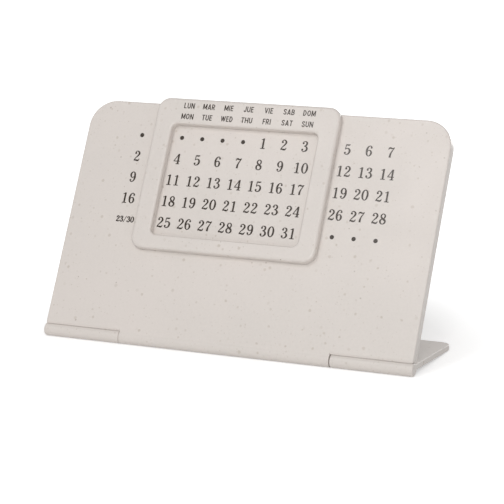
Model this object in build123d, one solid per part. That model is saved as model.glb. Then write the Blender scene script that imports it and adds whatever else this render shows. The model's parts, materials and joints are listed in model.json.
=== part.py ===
from build123d import *
import os
from math import asin, atan2, cos, degrees, hypot, radians, sin, sqrt

os.makedirs("parts", exist_ok=True)

# Perpetual desk calendar in three mouldings: a foot that lies on the table, a calendar plate
# hinged to the foot's front edge, and a slider with a window that saddles the plate's top edge.
# Millimetres. +X to the right as a reader sees it, +Y to the back, +Z up.
# The origin is the middle of the object's footprint, at table height.

# Calendar plate
plate_width = 140.0
plate_reach = 87.9            # hinge axis to top edge
plate_thickness = 4.3
plate_top_radius = 10.0
plate_bottom_radius = 1.6
plate_edge_round = 0.6
lower_edge_round = 1.6        # front lower edge, over the foot's barrels
plate_lean = 28.0             # degrees back from upright, as it stands

# Printed day grid, which the slider is sized to: 13 columns, the middle one near the plate's middle
column_pitch = 8.05
grid_offset = 0.7             # middle column, to the right of the plate's middle
grid_columns = 13
window_columns = 7
shown_first_column = 2        # leftmost column in the window, counted from 0

# Hinge: one knuckle on the plate between two on the foot, with snap-in stub pins
barrel_proud = 0.2            # barrel surface in front of the plate's face
centre_knuckle_length = 80.0
knuckle_end_gap = 0.25
knuckle_gap = 0.45            # foot round the plate's barrel
lower_edge_gap = 0.15         # plate round the foot's barrels
knuckle_end_round = 0.6
crease_round = 1.5            # where the plate's faces run into the barrel
stub_radius = 1.1
stub_length = 1.5
stub_tip_chamfer = 0.5
stub_clearance = 0.06
stub_end_gap = 0.3

# Foot
foot_reach = 40.2             # hinge axis to rear edge
foot_thickness = 2.1
foot_rise = 0.7               # slab's middle above the hinge axis, where it leaves the barrels
foot_side_overhang = 0.3      # foot beyond the plate at each side
foot_rear_radius = 4.0
foot_edge_round = 0.3
stop_gap = 0.05               # plate's lower rear edge above the foot, at the stop

# Slider
slider_side_band = 7.1        # beside the window
slider_top_band = 9.8         # above the window
slider_bottom_band = 5.4
slider_corner_radius = 4.6
slider_edge_round = 1.1
slider_front_wall = 2.6
slider_back_wall = 2.0
slider_back_height = 40.0
slider_top_wall = 1.5
slider_face_play = 0.3        # between the plate's faces and the slider's legs
slider_seat_gap = 0.1         # between the plate's top edge and the slider's top wall
slider_setting_error = 0.7    # window to the right of the exact setting, as photographed
window_side_margin = 0.3      # window beyond the outer columns' edges
window_height = 42.1
window_corner_radius = 2.3
window_edge_round = 0.8

# Worked out
half_plate = plate_thickness / 2
half_foot = foot_thickness / 2
barrel_radius = half_plate + barrel_proud
relief_radius = barrel_radius + lower_edge_gap
half_centre = centre_knuckle_length / 2
side_knuckle_start = half_centre + knuckle_end_gap
foot_width = plate_width + 2 * foot_side_overhang
side_edge_height = sqrt(relief_radius**2 - half_plate**2)
past_the_end = 5.0            # how far a cutter overshoots
same_place = 0.01             # how near two places count as one

# The foot slopes down from the barrels until its rounded lower rear edge meets the table.
rear_edge_reach = foot_reach - foot_edge_round
rear_edge_drop = half_foot - foot_edge_round - foot_rise
foot_top = foot_rise + half_foot
foot_slope = degrees(
    asin((barrel_radius - foot_edge_round) / hypot(rear_edge_reach, rear_edge_drop))
    - atan2(rear_edge_drop, rear_edge_reach)
)

# Angle between foot and plate as it stands, and the notch that clears the plate's back
stand_angle = radians(90 - plate_lean + foot_slope)
plate_back_reach = (half_plate + knuckle_gap + foot_top * cos(stand_angle)) / sin(stand_angle)
notch_depth = max(barrel_radius + knuckle_gap, plate_back_reach)

# Window and slider places, across the plate and up from the hinge axis
slider_x = (
    grid_offset
    + (shown_first_column + (window_columns - grid_columns) / 2) * column_pitch
    + slider_setting_error
)
window_width = window_columns * column_pitch + 2 * window_side_margin
slider_width = window_width + 2 * slider_side_band
slider_height = slider_top_band + window_height + slider_bottom_band
channel_half = half_plate + slider_face_play
channel_top = plate_reach + slider_seat_gap
slider_top = channel_top + slider_top_wall
window_centre = slider_top - slider_top_band - window_height / 2

# Frames at rest. In the plate's frame X runs across, Y up the plate and Z out of its front face,
# and in the foot's frame X runs across, Y to the rear and Z up. Both start on the hinge axis.
hinge_line = Pos(0, 0, barrel_radius)
plate_frame = hinge_line * Rot(90 - plate_lean, 0, 0)
foot_frame = hinge_line * Rot(-foot_slope, 0, 0)


def rod(radius, length, start_x):
    """A round bar along +X from start_x, centred on the hinge axis."""
    return Pos(start_x, 0, 0) * Rot(0, 90, 0) * Cylinder(
        radius, length, align=(Align.CENTER, Align.CENTER, Align.MIN)
    )


def face_edges(solid, axis, which):
    """The edges round the lowest (0) or highest (-1) face along an axis."""
    return solid.faces().sort_by(axis)[which].edges()


def rounding(radius, length):
    """What rounds off a square edge that runs along +X from the origin, over and behind it."""
    square = Box(length, radius, radius, align=(Align.MIN, Align.MIN, Align.MAX))
    return square - Pos(0, radius, -radius) * rod(radius, length, 0)


def plate_outline():
    """Front view of the plate: the centre runs down to the hinge, the sides stop above the foot."""
    panel_height = plate_reach - side_edge_height
    panel = Pos(0, side_edge_height) * Rectangle(
        plate_width, panel_height, align=(Align.CENTER, Align.MIN)
    )
    corners = panel.vertices().sort_by(Axis.Y)
    panel = fillet(corners[-2:], plate_top_radius)
    corners = panel.vertices().sort_by(Axis.Y)
    panel = fillet(corners[:2], plate_bottom_radius)
    tongue = Rectangle(
        centre_knuckle_length, side_edge_height + past_the_end, align=(Align.CENTER, Align.MIN)
    )
    return panel + tongue


def centre_knuckle():
    """The plate's barrel, blended into the plate's faces, with a snap-in stub pin on each end."""
    neck = Rectangle(
        side_edge_height + past_the_end, plate_thickness, align=(Align.MIN, Align.CENTER)
    )
    profile = Circle(barrel_radius) + neck
    crease_height = sqrt(barrel_radius**2 - half_plate**2)
    creases = [
        corner for corner in profile.vertices() if abs(corner.X - crease_height) < same_place
    ]
    profile = fillet(creases, crease_round)
    barrel = extrude(Plane.YZ.offset(-half_centre) * profile, centre_knuckle_length)
    stub = rod(stub_radius, stub_length, half_centre)
    stub = chamfer(face_edges(stub, Axis.X, -1), stub_tip_chamfer)
    return barrel + stub + mirror(stub, about=Plane.YZ)


def make_plate():
    panel = extrude(plate_outline(), half_plate, both=True)
    rims = face_edges(panel, Axis.Z, 0) + face_edges(panel, Axis.Z, -1)
    panel = fillet(rims, plate_edge_round)
    side_length = plate_width / 2 - half_centre
    for start in (half_centre, -plate_width / 2 - past_the_end):
        panel -= rod(relief_radius, side_length + past_the_end, start)
        lower_edge = Pos(start, side_edge_height, half_plate)
        panel -= lower_edge * rounding(lower_edge_round, side_length + past_the_end)
    # The lower rear edge of each side is cut level with the foot's top, where it comes to rest.
    stop_cut = Box(
        side_length + past_the_end, foot_reach, foot_thickness, align=(Align.MIN, Align.MIN, Align.MAX)
    )
    stop_cut = Pos(half_centre, 0, foot_top + stop_gap) * stop_cut
    stop_cut = plate_frame.inverse() * (foot_frame * stop_cut)
    panel -= stop_cut
    panel -= mirror(stop_cut, about=Plane.YZ)
    return plate_frame * (panel + centre_knuckle())


def side_knuckle():
    """The foot's right-hand barrel, with the blind hole for the plate's stub pin."""
    barrel = rod(barrel_radius, foot_width / 2 - side_knuckle_start, side_knuckle_start)
    barrel = fillet(face_edges(barrel, Axis.X, -1) + face_edges(barrel, Axis.X, 0), knuckle_end_round)
    hole_depth = stub_length - knuckle_end_gap + stub_end_gap
    return barrel, rod(stub_radius + stub_clearance, hole_depth, side_knuckle_start)


def make_foot():
    outline = Rectangle(foot_width, foot_reach, align=(Align.CENTER, Align.MIN))
    outline = fillet(outline.vertices().sort_by(Axis.Y)[-2:], foot_rear_radius)
    slab = Pos(0, 0, foot_rise) * extrude(outline, half_foot, both=True)
    rims = face_edges(slab, Axis.Z, 0) + face_edges(slab, Axis.Z, -1)
    slab = fillet(rims, foot_edge_round)
    slab -= Pos(0, 0, foot_rise) * Box(
        2 * side_knuckle_start, 2 * notch_depth, foot_thickness + past_the_end
    )
    barrel, hole = side_knuckle()
    foot = slab + barrel + mirror(barrel, about=Plane.YZ)
    foot = foot - hole - mirror(hole, about=Plane.YZ)
    return foot_frame * foot


def make_slider():
    depth_behind = channel_half + slider_back_wall
    front_outline = RectangleRounded(
        slider_width, slider_height, slider_corner_radius, align=(Align.CENTER, Align.MAX)
    )
    back_outline = RectangleRounded(
        slider_width, slider_back_height, slider_corner_radius, align=(Align.CENTER, Align.MAX)
    )
    front = Pos(0, slider_top, channel_half) * extrude(front_outline, slider_front_wall)
    saddle = Pos(0, slider_top, -depth_behind) * extrude(back_outline, depth_behind + channel_half)
    body = front + saddle
    body = fillet(face_edges(body, Axis.Z, -1) + face_edges(body, Axis.Z, 0), slider_edge_round)
    body -= Pos(0, channel_top, 0) * Box(
        slider_width + past_the_end,
        slider_height + past_the_end,
        2 * channel_half,
        align=(Align.CENTER, Align.MAX, Align.CENTER),
    )
    window = Pos(0, window_centre, channel_half) * extrude(
        RectangleRounded(window_width, window_height, window_corner_radius), slider_front_wall
    )
    body -= window
    front_height = channel_half + slider_front_wall
    window_rim = [
        edge
        for edge in body.edges()
        if abs(edge.center().Z - front_height) < same_place
        and abs(edge.center().X) < window_width / 2 + same_place
        and abs(edge.center().Y - window_centre) < window_height / 2 + same_place
    ]
    body = fillet(window_rim, window_edge_round)
    return plate_frame * Pos(slider_x, 0, 0) * body


calendar_plate = make_plate()
foot = make_foot()
slider = make_slider()

# Move the origin from below the hinge axis to the middle of the footprint.
nodes = {"calendar_plate": calendar_plate, "foot": foot, "slider": slider}
reach = Compound(children=[shape.solid() for shape in nodes.values()]).bounding_box()
hinge_y = -(reach.min.Y + reach.max.Y) / 2
for name, shape in nodes.items():
    export_step(Pos(0, hinge_y, 0) * shape.solid(), f"parts/{name}.step")

print("hinge axis at y", round(hinge_y, 4), "z", round(barrel_radius, 4))
print("foot slope", round(foot_slope, 3), "slider centre x", round(slider_x, 3))
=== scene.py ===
import json
from math import cos, pi, radians, sin

import bpy
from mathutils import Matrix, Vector
from mathutils.geometry import delaunay_2d_cdt


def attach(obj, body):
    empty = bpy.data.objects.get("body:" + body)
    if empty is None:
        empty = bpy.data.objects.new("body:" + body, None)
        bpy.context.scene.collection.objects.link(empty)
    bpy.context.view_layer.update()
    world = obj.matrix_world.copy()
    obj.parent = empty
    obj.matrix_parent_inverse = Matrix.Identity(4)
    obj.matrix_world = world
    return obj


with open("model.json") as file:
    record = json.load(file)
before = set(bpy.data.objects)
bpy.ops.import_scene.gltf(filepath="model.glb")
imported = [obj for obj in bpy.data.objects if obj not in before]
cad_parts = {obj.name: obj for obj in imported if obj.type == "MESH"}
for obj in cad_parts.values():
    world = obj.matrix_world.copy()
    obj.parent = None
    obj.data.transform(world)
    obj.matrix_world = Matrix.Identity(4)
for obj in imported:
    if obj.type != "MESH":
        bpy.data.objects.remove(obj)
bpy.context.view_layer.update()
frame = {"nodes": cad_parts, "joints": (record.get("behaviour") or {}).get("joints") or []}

# A perpetual desk calendar: a foot, a plate with printed days and a slider with printed weekdays.
# The places of the print are in millimetres on the plate: u to the right, v up the plate from
# the hinge axis and d in front of the plate's middle. All else is in metres.
MM = 0.001

hinge = Vector(frame["joints"][0]["pos_m"])
lean = radians(28)
up_plate = Vector((0, sin(lean), cos(lean)))
out_of_plate = Vector((0, -cos(lean), sin(lean)))
plate_face = 2.15             # d of the front faces
slider_face = 5.05

# The printed day grid
grid_columns = 13
grid_rows = 5
column_pitch = 8.05
row_pitch = 8.05
middle_column_u = 0.65
top_row_v = 75.14
first_day_column = 6          # where the top row holds a 1, counted from 0
days_in_week = 7
last_day = 31
day_height = 3.95
day_gap = 0.28                # between a day's two figures
day_shift = -0.1              # of a day to the right of its column's middle
double_day_height = 2.15      # two days that share a place, with a slash between them
double_day_gap = 0.06
double_day_shift = 0.4
dot_diameter = 1.6
dot_shift = 0.15

# The figures, in shares of their height
figure_width = 0.6
figure_stretch = 1.1
figure_boldness = 0.026
double_day_boldness = 0.08

# The weekday names on the slider
first_name_u = -29.6
name_pitch = 7.8
name_height = 2.1
name_gap = 0.26               # between a name's letters
name_rows_v = (86.57, 82.44)
weekdays = (
    ("LUN", "MAR", "MIE", "JUE", "VIE", "SAB", "DOM"),
    ("MON", "TUE", "WED", "THU", "FRI", "SAT", "SUN"),
)

# How the ink lies on a face
ink_proud = 0.03
ink_sunk = 0.01


# Strokes. A glyph is drawn 1 high, from strokes whose points are (x, y, stroke width).

def straight(*points):
    """A stroke along straight lines."""
    return [Vector(point) for point in points]


def curve(*points, steps=6):
    """A stroke along a smooth curve through its points."""
    knots = [Vector(point) for point in points]
    knots = [2 * knots[0] - knots[1]] + knots + [2 * knots[-1] - knots[-2]]
    path = []
    for a, b, c, d in zip(knots, knots[1:], knots[2:], knots[3:]):
        for step in range(steps):
            t = step / steps
            linear = 2 * b + (c - a) * t
            bend = (2 * a - 5 * b + 4 * c - d) * t**2 + (3 * b - a - 3 * c + d) * t**3
            path.append((linear + bend) / 2)
    return path + [knots[-2]]


def ring(x, y, half_width, half_height, side, cap, steps=36):
    """A closed oval stroke, as thick as side at its sides and as cap at its top and bottom."""
    path = []
    for step in range(steps + 1):
        turn = 2 * pi * step / steps
        width = cap + (side - cap) * abs(cos(turn)) ** 1.5
        path.append(Vector((x + half_width * cos(turn), y + half_height * sin(turn), width)))
    return path


def ribbon(path):
    """The four-sided pieces that a stroke covers, each counterclockwise."""
    rails = []
    for index, point in enumerate(path):
        before = path[max(index - 1, 0)]
        after = path[min(index + 1, len(path) - 1)]
        along = (after - before).to_2d().normalized()
        across = Vector((-along.y, along.x)) * point.z / 2
        rails.append((point.to_2d() + across, point.to_2d() - across))
    return [
        [right, next_right, next_left, left]
        for (left, right), (next_left, next_right) in zip(rails, rails[1:])
    ]


def disc(x, y, radius, steps=20):
    """A round blob, as a counterclockwise outline."""
    turns = [2 * pi * step / steps for step in range(steps)]
    return [[Vector((x + radius * cos(turn), y + radius * sin(turn))) for turn in turns]]


def glyph(*shapes):
    """One flat set of triangles that covers the shapes once, and its rim's edges."""
    points, faces = [], []
    for shape in shapes:
        for outline in shape:
            faces.append(list(range(len(points), len(points) + len(outline))))
            points += outline
    insides_only, nearness = 1, 1e-5
    points, _, triangles, _, _, sources = delaunay_2d_cdt(
        points, [], faces, insides_only, nearness
    )
    triangles = [tuple(face) for face, source in zip(triangles, sources) if source]
    sides = {(a, b) for face in triangles for a, b in zip(face, face[1:] + face[:1])}
    rim = sorted(side for side in sides if side[::-1] not in sides)
    return points, triangles, rim


def strokes(*paths):
    """The four-sided pieces that several strokes cover."""
    return [piece for path in paths for piece in ribbon(path)]


# Figures of an upright serif face with strong contrast, each written in a box of figure_width

def figure(*paths, blobs=()):
    """A figure's strokes and its blobs (x, y, radius), to be set in any weight."""
    return paths, blobs


def weighted(paths, blobs, boldness):
    """A figure's glyph, stretched, with its strokes thicker by boldness than they are written."""
    bolder = [[point + Vector((0, 0, boldness)) for point in path] for path in paths]
    outlines = strokes(*bolder)
    for x, y, radius in blobs:
        outlines += disc(x, y, radius + boldness / 2)
    stretched = [[Vector((p.x * figure_stretch, p.y)) for p in outline] for outline in outlines]
    return glyph(stretched)


def figure_1():
    stem = straight((0.32, 0.02, 0.13), (0.32, 0.985, 0.13))
    flag = curve((0.34, 0.965, 0.05), (0.23, 0.89, 0.05), (0.12, 0.85, 0.045))
    serif = straight((0.12, 0.025, 0.05), (0.52, 0.025, 0.05))
    return figure(stem, flag, serif)


def figure_2():
    top = curve(
        (0.12, 0.79, 0.05), (0.15, 0.90, 0.05), (0.28, 0.968, 0.06), (0.42, 0.89, 0.11),
        (0.475, 0.73, 0.135), (0.40, 0.55, 0.11), (0.25, 0.36, 0.065), (0.12, 0.18, 0.05),
        (0.075, 0.04, 0.05),
    )
    foot = curve(
        (0.075, 0.06, 0.08), (0.18, 0.10, 0.10), (0.30, 0.075, 0.13), (0.42, 0.07, 0.13),
        (0.50, 0.13, 0.07), (0.535, 0.24, 0.04),
    )
    return figure(top, foot, blobs=[(0.155, 0.765, 0.078)])


def figure_3():
    upper = curve(
        (0.10, 0.82, 0.05), (0.15, 0.92, 0.05), (0.28, 0.968, 0.055), (0.41, 0.89, 0.11),
        (0.445, 0.75, 0.13), (0.38, 0.60, 0.10), (0.24, 0.53, 0.045),
    )
    lower = curve(
        (0.22, 0.53, 0.045), (0.40, 0.48, 0.09), (0.50, 0.29, 0.14), (0.42, 0.10, 0.11),
        (0.26, 0.032, 0.055), (0.12, 0.08, 0.05), (0.075, 0.17, 0.05),
    )
    return figure(upper, lower, blobs=[(0.135, 0.79, 0.075), (0.115, 0.19, 0.075)])


def figure_4():
    diagonal = straight((0.415, 0.97, 0.05), (0.05, 0.28, 0.05))
    bar = straight((0.03, 0.28, 0.055), (0.575, 0.28, 0.055))
    stem = straight((0.425, 0.02, 0.13), (0.425, 0.985, 0.13))
    serif = straight((0.26, 0.025, 0.05), (0.575, 0.025, 0.05))
    return figure(diagonal, bar, stem, serif)


def figure_5():
    top = curve(
        (0.13, 0.955, 0.06), (0.24, 0.92, 0.10), (0.38, 0.92, 0.10), (0.48, 0.975, 0.04),
    )
    left = straight((0.135, 0.96, 0.05), (0.115, 0.50, 0.05))
    bowl = curve(
        (0.115, 0.51, 0.045), (0.22, 0.595, 0.05), (0.34, 0.60, 0.075), (0.46, 0.49, 0.125),
        (0.49, 0.32, 0.14), (0.42, 0.12, 0.11), (0.26, 0.032, 0.055), (0.13, 0.07, 0.05),
        (0.08, 0.15, 0.05),
    )
    return figure(top, left, bowl, blobs=[(0.12, 0.18, 0.075)])


def figure_6_stroke():
    """The one stroke of a 6, which a 9 has too."""
    return curve(
        (0.49, 0.85, 0.045), (0.42, 0.94, 0.05), (0.32, 0.968, 0.055), (0.18, 0.86, 0.10),
        (0.105, 0.64, 0.135), (0.10, 0.42, 0.14), (0.14, 0.18, 0.115), (0.22, 0.055, 0.07),
        (0.30, 0.032, 0.055), (0.42, 0.10, 0.09), (0.485, 0.29, 0.135), (0.43, 0.49, 0.10),
        (0.32, 0.565, 0.055), (0.21, 0.51, 0.05), (0.13, 0.38, 0.05),
    )


def figure_6():
    return figure(figure_6_stroke(), blobs=[(0.455, 0.81, 0.07)])


def figure_7():
    hook = straight((0.075, 0.74, 0.04), (0.09, 0.90, 0.05))
    bar = curve(
        (0.08, 0.88, 0.08), (0.20, 0.915, 0.13), (0.34, 0.875, 0.10), (0.46, 0.89, 0.07),
        (0.535, 0.97, 0.04),
    )
    diagonal = curve(
        (0.53, 0.95, 0.045), (0.42, 0.72, 0.06), (0.31, 0.48, 0.09), (0.26, 0.26, 0.13),
        (0.255, 0.02, 0.14),
    )
    return figure(hook, bar, diagonal)


def figure_8():
    upper = ring(0.295, 0.745, 0.165, 0.215, 0.10, 0.055)
    lower = ring(0.30, 0.27, 0.205, 0.235, 0.125, 0.055)
    waist = curve((0.16, 0.66, 0.10), (0.28, 0.52, 0.13), (0.44, 0.37, 0.12))
    return figure(upper, lower, waist)


def figure_9():
    """The 6 turned upside down."""
    turned = [
        Vector((figure_width - point.x, 1 - point.y, point.z)) for point in figure_6_stroke()
    ]
    return figure(turned, blobs=[(0.145, 0.19, 0.07)])


def figure_0():
    return figure(ring(0.30, 0.5, 0.215, 0.465, 0.14, 0.055))


def slash():
    return glyph(strokes(straight((0.06, -0.06, 0.11), (0.50, 1.06, 0.11))))


# Capitals of an upright bold condensed sans, given as (width, strokes)

bold = 0.16
edge = bold / 2


def poly(*points):
    """A stroke of the capitals' thickness along straight lines."""
    return straight(*[(x, y, bold) for x, y in points])


def bent(*points):
    """A stroke of the capitals' thickness along a smooth curve."""
    return curve(*[(x, y, bold) for x, y in points])


def bars(left, right, *heights):
    """Level strokes at these heights."""
    return [poly((left, height), (right, height)) for height in heights]


def stem(x):
    return poly((x, 0), (x, 1))


def bowl(left, right, bottom, top):
    """The round right-hand side of a B, D, P or R."""
    middle = (bottom + top) / 2
    turn = min(right - left, middle - bottom) * 0.3
    return bent(
        (left, top), ((left + right) / 2, top), (right - turn, top - turn), (right, middle),
        (right - turn, bottom + turn), ((left + right) / 2, bottom), (left, bottom),
    )


def capitals():
    """Every capital of the weekday names: its width and the strokes that draw it."""
    low, high = edge, 1 - edge
    return {
        "A": (0.64, [poly((edge - 0.01, 0), (0.32, 0.98)), poly((0.32, 0.98), (0.65 - edge, 0)),
                     poly((0.16, 0.27), (0.48, 0.27))]),
        "B": (0.58, [stem(edge), bowl(edge, 0.46, 0.52, high), bowl(edge, 0.49, low, 0.52)]),
        "D": (0.60, [stem(edge), bowl(edge, 0.51, low, high)]),
        "E": (0.48, [stem(edge), *bars(edge, 0.47, low, high), *bars(edge, 0.43, 0.51)]),
        "F": (0.46, [stem(edge), *bars(edge, 0.46, high), *bars(edge, 0.42, 0.49)]),
        "H": (0.62, [stem(edge), stem(0.62 - edge), *bars(edge, 0.54, 0.51)]),
        "I": (0.18, [stem(edge)]),
        "J": (0.45, [bent((0.45 - edge, 1), (0.45 - edge, 0.62), (0.45 - edge, 0.28),
                          (0.31, 0.11), (0.19, low), (0.09, 0.15), (0.06, 0.30))]),
        "L": (0.49, [stem(edge), *bars(edge, 0.49, low)]),
        "M": (0.76, [stem(edge), stem(0.76 - edge), poly((0.10, 0.98), (0.38, 0.12)),
                     poly((0.38, 0.12), (0.66, 0.98))]),
        "N": (0.63, [stem(edge), stem(0.63 - edge), poly((0.10, 0.97), (0.53, 0.03))]),
        "O": (0.64, [ring(0.32, 0.5, 0.32 - edge, 0.5 - edge, bold, bold)]),
        "R": (0.60, [stem(edge), bowl(edge, 0.49, 0.45, high), poly((0.29, 0.46), (0.51, 0))]),
        "S": (0.57, [bent((0.49, 0.73), (0.43, 0.87), (0.28, high), (0.13, 0.86), (0.09, 0.73),
                          (0.17, 0.59), (0.30, 0.51), (0.44, 0.40), (0.48, 0.25), (0.42, 0.12),
                          (0.28, low), (0.13, 0.13), (0.07, 0.28))]),
        "T": (0.55, [poly((0.275, 0), (0.275, 1)), *bars(0, 0.55, high)]),
        "U": (0.60, [bent((edge, 1), (edge, 0.62), (edge, 0.32), (0.16, 0.13), (0.30, low),
                          (0.44, 0.13), (0.60 - edge, 0.32), (0.60 - edge, 0.62),
                          (0.60 - edge, 1))]),
        "V": (0.62, [poly((edge - 0.01, 1), (0.31, 0.04)), poly((0.31, 0.04), (0.63 - edge, 1))]),
        "W": (0.88, [poly((edge - 0.01, 1), (0.25, 0.05)), poly((0.25, 0.05), (0.44, 0.95)),
                     poly((0.44, 0.95), (0.63, 0.05)), poly((0.63, 0.05), (0.89 - edge, 1))]),
    }


def alphabet():
    """Every glyph of the print: its width and its triangles."""
    figures = (
        figure_0, figure_1, figure_2, figure_3, figure_4,
        figure_5, figure_6, figure_7, figure_8, figure_9,
    )
    drawn = {}
    width = figure_width * figure_stretch
    for n, draw in enumerate(figures):
        drawn[str(n)] = (width, weighted(*draw(), figure_boldness))
        drawn[f"small {n}"] = (width, weighted(*draw(), double_day_boldness))
    drawn["/"] = (figure_width, slash())
    drawn["dot"] = (1.0, glyph(disc(0.5, 0.5, 0.5, steps=28)))
    for letter, (width, paths) in capitals().items():
        drawn[letter] = (width, glyph(strokes(*paths)))
    return drawn


glyphs = alphabet()


# Setting the print

def line_of(signs, u, v, height, gap):
    """The glyphs of a line of print, centred on (u, v), as (glyph, left, bottom, height)."""
    widths = [glyphs[sign][0] * height for sign in signs]
    left = u - (sum(widths) + gap * (len(signs) - 1)) / 2
    marks = []
    for sign, width in zip(signs, widths):
        marks.append((glyphs[sign][1], left, v - height / 2, height))
        left += width + gap
    return marks


def add_object(name, data):
    """A new object in the scene."""
    made = bpy.data.objects.new(name, data)
    bpy.context.scene.collection.objects.link(made)
    return made


def print_on(name, body, face_d, marks):
    """One object that holds the marks, as thin solids of ink on a body's face at depth face_d."""
    vertices, faces = [], []
    for (points, triangles, rim), left, bottom, height in marks:
        first, count = len(vertices), len(points)
        for d in (face_d + ink_proud, face_d - ink_sunk):
            for point in points:
                across = Vector((left + height * point.x, 0, 0))
                up = (bottom + height * point.y) * up_plate
                vertices.append(hinge + MM * (across + up + d * out_of_plate))
        top = [tuple(first + corner for corner in face) for face in triangles]
        faces += top
        faces += [tuple(corner + count for corner in reversed(face)) for face in top]
        for a, b in rim:
            a, b = a + first, b + first
            faces.append((b, a, a + count, b + count))
    mesh = bpy.data.meshes.new(name)
    mesh.from_pydata(vertices, [], faces)
    mesh.materials.append(ink)
    piece = add_object(name, mesh)
    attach(piece, body)


def small_figures(day):
    """The signs of a day that shares its place."""
    return [f"small {n}" for n in str(day)]


def print_days():
    """The grid of days, with dots in the places that have none."""
    days, dots = [], []
    for column in range(grid_columns):
        for row in range(grid_rows):
            u = middle_column_u + (column - grid_columns // 2) * column_pitch
            v = top_row_v - row * row_pitch
            day = column - first_day_column + 1 + days_in_week * row
            week_later = day + days_in_week
            if not 1 <= day <= last_day:
                dots += line_of(["dot"], u + dot_shift, v, dot_diameter, 0)
            elif row == grid_rows - 1 and week_later <= last_day:
                signs = small_figures(day) + ["/"] + small_figures(week_later)
                days += line_of(signs, u + double_day_shift, v, double_day_height, double_day_gap)
            else:
                days += line_of(str(day), u + day_shift, v, day_height, day_gap)
    print_on("print_days", "plate", plate_face, days)
    print_on("print_dots", "plate", plate_face, dots)


def print_weekdays():
    """The two rows of weekday names over the slider's window."""
    marks = []
    for names, v in zip(weekdays, name_rows_v):
        for place, name in enumerate(names):
            u = first_name_u + place * name_pitch
            marks += line_of(name, u, v, name_height, name_gap)
    print_on("print_weekdays", "slider", slider_face, marks)


# Materials

def colour(red, green, blue):
    """A colour written as 0 to 255 on screen, as the shader takes it."""
    channels = [value / 255 for value in (red, green, blue)]
    return [c / 12.92 if c <= 0.04045 else ((c + 0.055) / 1.055) ** 2.4 for c in channels] + [1]


def add_node(tree, kind, inputs, **settings):
    """A new shader node. An input is a value, or another node's output to link from."""
    made = tree.nodes.new(kind)
    for name, value in settings.items():
        setattr(made, name, value)
    for name, value in inputs.items():
        if isinstance(value, bpy.types.NodeSocket):
            tree.links.new(value, made.inputs[name])
        else:
            made.inputs[name].default_value = value
    return made


def fit(tree, value, old_range, new_range):
    """A value moved from one range to another and held inside it."""
    ends = ("From Min", "From Max", "To Min", "To Max")
    inputs = {"Value": value} | dict(zip(ends, (*old_range, *new_range)))
    return add_node(tree, "ShaderNodeMapRange", inputs).outputs["Result"]


def maths(tree, operation, first, second):
    """What an operation makes of two numbers."""
    made = add_node(tree, "ShaderNodeMath", {0: first, 1: second}, operation=operation)
    return made.outputs[0]


def vector_maths(tree, operation, place, inputs):
    """The node of an operation on a place and further inputs."""
    return add_node(tree, "ShaderNodeVectorMath", {0: place} | inputs, operation=operation)


def mixed(tree, amount, first, second):
    """A mix of two colours."""
    colours = {6: first, 7: second}
    return add_node(tree, "ShaderNodeMix", {0: amount} | colours, data_type="RGBA").outputs[2]


def noise_node(tree, place, size, detail):
    """Noise of one number and of a colour, with patches about size metres across."""
    inputs = {"Vector": place, "Scale": 1 / size, "Detail": detail}
    return add_node(tree, "ShaderNodeTexNoise", inputs)


def noise(tree, place, size, detail=2.0):
    """Cloudy noise, as one number."""
    return noise_node(tree, place, size, detail).outputs["Fac"]


def ragged(tree, place, size, reach):
    """The place, pushed about by up to reach metres, so that what it carries gets ragged edges."""
    push = noise_node(tree, place, size, detail=2.0).outputs["Color"]
    centred = vector_maths(tree, "SUBTRACT", push, {1: (0.5, 0.5, 0.5)}).outputs[0]
    scaled = vector_maths(tree, "SCALE", centred, {"Scale": 2 * reach}).outputs[0]
    return vector_maths(tree, "ADD", place, {1: scaled}).outputs[0]


def flecks(tree, place, spacing, radius, share):
    """Scattered flecks: how much of a fleck is at a place, and a number of each fleck's own."""
    smallest, solid_part = 0.4, 0.55
    cells = add_node(tree, "ShaderNodeTexVoronoi", {"Vector": place, "Scale": 1 / spacing})
    own = add_node(tree, "ShaderNodeSeparateColor", {0: cells.outputs["Color"]}).outputs
    size = fit(tree, own[1], (0, 1), (smallest * radius / spacing, radius / spacing))
    solid = maths(tree, "MULTIPLY", size, solid_part)
    inside = fit(tree, cells.outputs["Distance"], (size, solid), (0, 1))
    kept = maths(tree, "LESS_THAN", own[0], share)
    return maths(tree, "MULTIPLY", inside, kept), own[2]


def grain(tree, shader, place, size, detail, strength, depth):
    """A fine relief all over the surface."""
    height = noise(tree, place, size, detail)
    inputs = {"Height": height, "Strength": strength, "Distance": depth}
    bump = add_node(tree, "ShaderNodeBump", inputs)
    tree.links.new(bump.outputs[0], shader.inputs["Normal"])


def new_material(name):
    """An empty node material and its tree, shader and object coordinates."""
    material = bpy.data.materials.new(name)
    material.use_nodes = True
    tree = material.node_tree
    shader = tree.nodes["Principled BSDF"]
    place = tree.nodes.new("ShaderNodeTexCoord").outputs["Object"]
    return material, tree, shader, place


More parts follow.
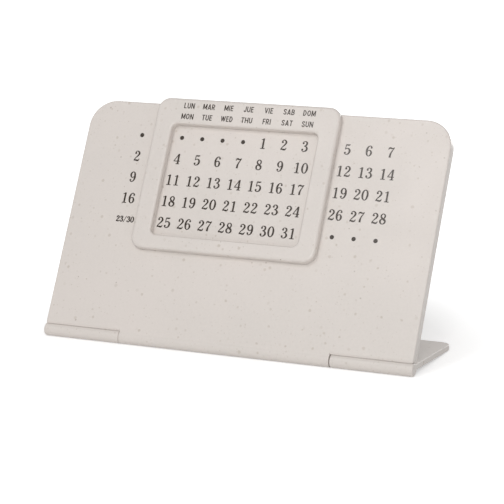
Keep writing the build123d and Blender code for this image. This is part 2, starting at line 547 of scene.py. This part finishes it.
def make_plastic():
    """Off-white, faintly mottled plastic with a satin surface and tan and brown flecks."""
    material, tree, shader, place = new_material("speckled_plastic")
    tint = fit(tree, noise(tree, place, size=0.05), (0.35, 0.65), (0, 1))
    body = mixed(tree, tint, colour(220, 212, 206), colour(215, 208, 202))
    mottle = fit(tree, noise(tree, place, size=0.0009, detail=3.0), (0.3, 0.7), (0, 0.2))
    body = mixed(tree, mottle, body, colour(230, 223, 217))

    soft_place = ragged(tree, place, size=0.0006, reach=0.00025)
    for spacing, radius, share, faintest, strongest, tone in (
        (0.003, 0.0008, 0.9, 0.1, 0.5, colour(180, 167, 152)),      # tan
        (0.0042, 0.00044, 0.5, 0.2, 0.7, colour(146, 130, 116)),    # brown
        (0.0013, 0.00034, 0.7, 0.1, 0.4, colour(182, 170, 156)),    # fine
    ):
        fleck, number = flecks(tree, soft_place, spacing, radius, share)
        strength = fit(tree, number, (0, 1), (faintest, strongest))
        strength = maths(tree, "MULTIPLY", fleck, strength)
        body = mixed(tree, strength, body, tone)
    tree.links.new(body, shader.inputs["Base Color"])

    patches = noise(tree, place, size=0.012, detail=4.0)
    roughness = fit(tree, patches, (0.3, 0.7), (0.35, 0.42))
    tree.links.new(roughness, shader.inputs["Roughness"])
    grain(tree, shader, place, size=0.0004, detail=3.0, strength=0.35, depth=0.00002)
    return material


def make_ink():
    """Dark warm printing ink, a little uneven in density and gloss."""
    material, tree, shader, place = new_material("printed_ink")
    cover = fit(tree, noise(tree, place, size=0.0009, detail=3.0), (0.35, 0.7), (0, 1))
    tone = mixed(tree, cover, colour(38, 25, 14), colour(50, 37, 24))
    tree.links.new(tone, shader.inputs["Base Color"])
    shader.inputs["Specular IOR Level"].default_value = 0.38
    roughness = fit(tree, noise(tree, place, size=0.003), (0.3, 0.7), (0.22, 0.28))
    tree.links.new(roughness, shader.inputs["Roughness"])
    grain(tree, shader, place, size=0.0003, detail=2.0, strength=0.3, depth=0.00001)
    return material


def straight_to_view(tree):
    """1 where a ray comes straight from the camera, a mirror or a glass, and 0 elsewhere."""
    rays = tree.nodes.new("ShaderNodeLightPath")
    seen = rays.outputs["Is Camera Ray"]
    for name in ("Is Glossy Ray", "Is Transmission Ray"):
        seen = maths(tree, "MAXIMUM", seen, rays.outputs[name])
    return seen


# Surroundings

floor_half = 12.0
floor_glow_with_painted_shade = (0.395, 0.85)    # what the camera sees on top of the light, near the object and far; the lower near value is painted shade around the object
floor_rise = (0.07, 0.13)     # how far from the origin it rises from the one to the other
sky_level = 0.40
lamp_target = Vector((0, 0, 0.04))
lamps = (
    # name, place, width and watts
    ("key", (0.29, -0.832, 0.396), 0.3, 3.45),
    ("side", (-0.252, -0.692, 0.857), 0.2, 1.45),
    ("back", (0.2, 1.12, 0.12), 0.2, 1.9),
)


def make_floor():
    """A wide pale floor at table height, which shows brighter to the camera than it is lit, and
    less bright near the object, as painted shade around it.
    """
    signs = ((-1, -1), (1, -1), (1, 1), (-1, 1))
    corners = [(x * floor_half, y * floor_half, 0) for x, y in signs]
    mesh = bpy.data.meshes.new("floor")
    mesh.from_pydata(corners, [], [(0, 1, 2, 3)])
    material = bpy.data.materials.new("pale_floor")
    material.use_nodes = True
    tree = material.node_tree
    tree.nodes.remove(tree.nodes["Principled BSDF"])
    matt = add_node(tree, "ShaderNodeBsdfDiffuse", {"Color": (0.9, 0.9, 0.9, 1)})
    place = tree.nodes.new("ShaderNodeTexCoord").outputs["Object"]
    away = vector_maths(tree, "LENGTH", place, {}).outputs["Value"]
    # The glow is weaker near the object than far off. This paints shade on the floor around the
    # object, on top of the shadow that the lamps cast.
    glow_with_painted_shade = fit(tree, away, floor_rise, floor_glow_with_painted_shade)
    glow_with_painted_shade = maths(tree, "MULTIPLY", straight_to_view(tree), glow_with_painted_shade)
    glow = add_node(tree, "ShaderNodeEmission", {"Color": (1, 1, 1, 1), "Strength": glow_with_painted_shade})
    both = add_node(tree, "ShaderNodeAddShader", {0: matt.outputs[0], 1: glow.outputs[0]})
    tree.links.new(both.outputs[0], tree.nodes["Material Output"].inputs["Surface"])
    mesh.materials.append(material)
    floor = add_object("floor", mesh)


def make_world():
    """A plain grey sky that lights from all round, and is white to the camera."""
    world = bpy.data.worlds.new("sky")
    bpy.context.scene.world = world
    world.use_nodes = True
    tree = world.node_tree
    strength = fit(tree, straight_to_view(tree), (0, 1), (sky_level, 1))
    sky = tree.nodes["Background"]
    sky.inputs["Color"].default_value = (1, 1, 1, 1)
    tree.links.new(strength, sky.inputs["Strength"])


def make_lamp(name, place, width, watts):
    """A square soft lamp that faces the object."""
    data = bpy.data.lights.new(name, "AREA")
    data.size = width
    data.energy = watts
    lamp = add_object(name, data)
    lamp.location = place
    aim = lamp_target - lamp.location
    lamp.rotation_euler = aim.to_track_quat("-Z", "Y").to_euler()


def make_camera():
    """The photograph's view: a long lens, a little above the table and from the right."""
    azimuth, elevation, distance = radians(23.611), radians(12.246), 0.70575
    back = Vector((sin(azimuth) * cos(elevation), -cos(azimuth) * cos(elevation), sin(elevation)))
    target = Vector((0.010822, -0.021602, 0.037729))
    data = bpy.data.cameras.new("camera")
    data.lens = 147.034
    data.sensor_width = 36
    data.clip_start = 0.01
    data.clip_end = 50
    camera = add_object("camera", data)
    camera.location = target + distance * back
    camera.rotation_euler = (-back).to_track_quat("-Z", "Y").to_euler()
    bpy.context.scene.camera = camera


plastic = make_plastic()
ink = make_ink()
for node in frame["nodes"].values():
    for slot in node.material_slots:
        slot.material = plastic
print_days()
print_weekdays()

make_floor()
make_world()
for lamp in lamps:
    make_lamp(*lamp)
make_camera()
bpy.context.scene.view_settings.view_transform = "Standard"
